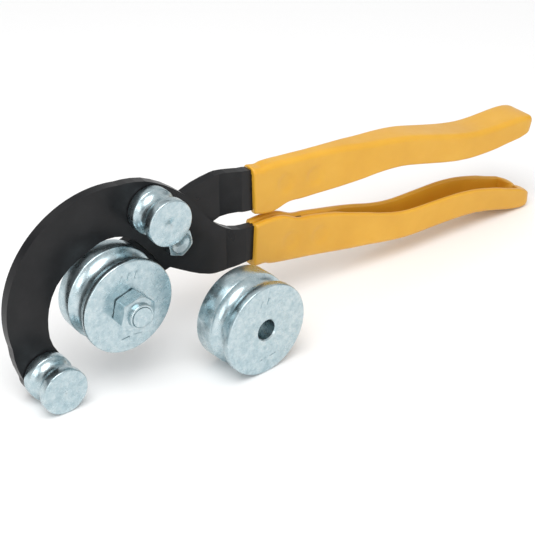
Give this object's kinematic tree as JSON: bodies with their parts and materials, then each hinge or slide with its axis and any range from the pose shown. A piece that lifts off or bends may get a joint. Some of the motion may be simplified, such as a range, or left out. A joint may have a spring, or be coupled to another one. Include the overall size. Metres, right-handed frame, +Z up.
{
  "type": "manual tube bender",
  "caption": "Plier-type manual tube bender: crossed black levers with a C-shaped roller jaw, a grooved forming wheel, yellow dipped handles and a spare forming wheel beside it.",
  "frame": {"origin": "on the surface the tool stands on, under the middle of the whole set's box", "axes": "+X from the jaw towards the handle ends, +Y away from the front face, +Z up"},
  "size_m": [0.3335, 0.0709, 0.0977],
  "materials": {
    "black_lever": "satin",
    "zinc_steel": "satin",
    "yellow_vinyl": "satin"
  },
  "bodies": {
    "front_lever": {"front_lever_plate": "black_lever", "lower_handle_channel": "zinc_steel", "lower_handle_rivets": "zinc_steel", "lower_grip": "yellow_vinyl", "pivot_bolt": "zinc_steel", "pivot_washer": "zinc_steel", "pivot_nut": "zinc_steel"},
    "rear_lever": {"rear_lever_plate": "black_lever", "upper_handle_channel": "zinc_steel", "upper_handle_rivets": "zinc_steel", "upper_grip": "yellow_vinyl", "former_stud": "zinc_steel", "former_nut": "zinc_steel"},
    "upper_roller": {"upper_roller": "zinc_steel", "upper_roller_washer": "zinc_steel", "upper_roller_ring": "zinc_steel"},
    "lower_roller": {"lower_roller": "zinc_steel", "lower_roller_washer": "zinc_steel", "lower_roller_ring": "zinc_steel"},
    "forming_wheel": {"forming_wheel": "zinc_steel"},
    "spare_wheel": {"spare_wheel": "zinc_steel"}
  },
  "joints": [
    {"name": "lever_pivot", "type": "hinge", "parent": "front_lever", "child": "rear_lever", "pos_m": [-0.0743, 0.02045, 0.058], "axis": [0, -1, 0], "range_deg": [0, 32]},
    {"name": "upper_roller_spin", "type": "hinge", "parent": "front_lever", "child": "upper_roller", "pos_m": [-0.0886, 0.0051, 0.0801], "axis": [0, 1, 0], "continuous": true},
    {"name": "lower_roller_spin", "type": "hinge", "parent": "front_lever", "child": "lower_roller", "pos_m": [-0.1499, 0.0051, 0.01175], "axis": [0, 1, 0], "continuous": true},
    {"name": "forming_wheel_spin", "type": "hinge", "parent": "rear_lever", "child": "forming_wheel", "pos_m": [-0.1133, 0.0051, 0.0442], "axis": [0, 1, 0], "continuous": true},
    {"name": "spare_wheel_lift", "type": "slide", "parent": "front_lever", "child": "spare_wheel", "axis": [0, 0, 1], "range_m": [0, 0.08]}
  ]
}
